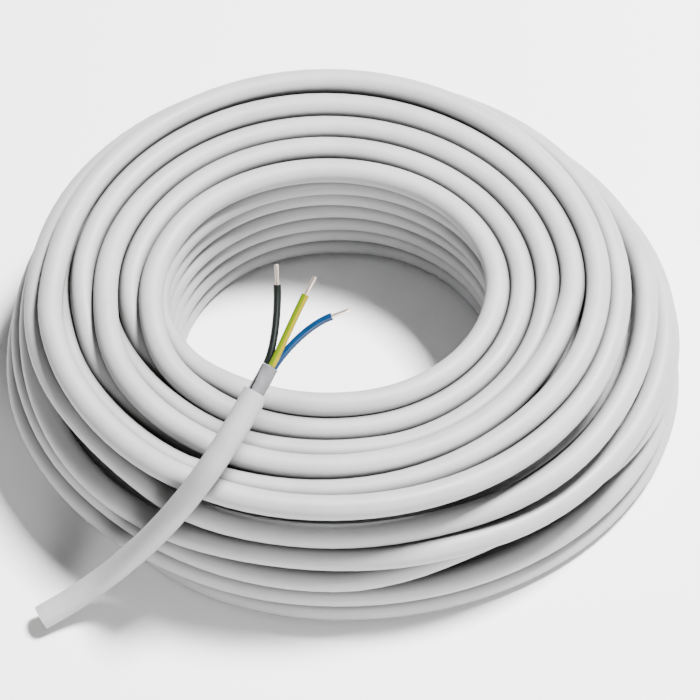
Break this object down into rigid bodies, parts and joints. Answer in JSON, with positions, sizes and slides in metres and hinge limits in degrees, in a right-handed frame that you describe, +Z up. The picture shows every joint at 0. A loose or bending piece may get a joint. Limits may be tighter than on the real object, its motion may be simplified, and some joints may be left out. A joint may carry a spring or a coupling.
{
  "type": "coil of electrical cable",
  "caption": "Coil of light grey sheathed installation cable, wound in a flat oval ring, with a stripped length of it lying across that shows its coloured cores.",
  "frame": {"origin": "on the coil's axis, at the level of the surface that the coil lies on", "axes": "+Z up along the coil's axis, X along the length of its oval, -Y towards the side over which the stripped length lies"},
  "size_m": [0.2502, 0.2102, 0.1168],
  "materials": {
    "jacket": "light grey soft PVC, matt with a faint sheen",
    "filler": "dull grey filling compound",
    "core_black": "smooth black insulation",
    "core_green_yellow": "smooth insulation with green and yellow stripes",
    "core_blue": "smooth blue insulation",
    "conductor": "bare solid copper"
  },
  "bodies": {
    "root": {"cable_coil": "jacket", "stripped_length_jacket": "jacket", "stripped_length_filler": "filler", "black_core": "core_black", "green_yellow_core": "core_green_yellow", "blue_core": "core_blue", "black_conductor": "conductor", "green_yellow_conductor": "conductor", "blue_conductor": "conductor"}
  },
  "joints": []
}
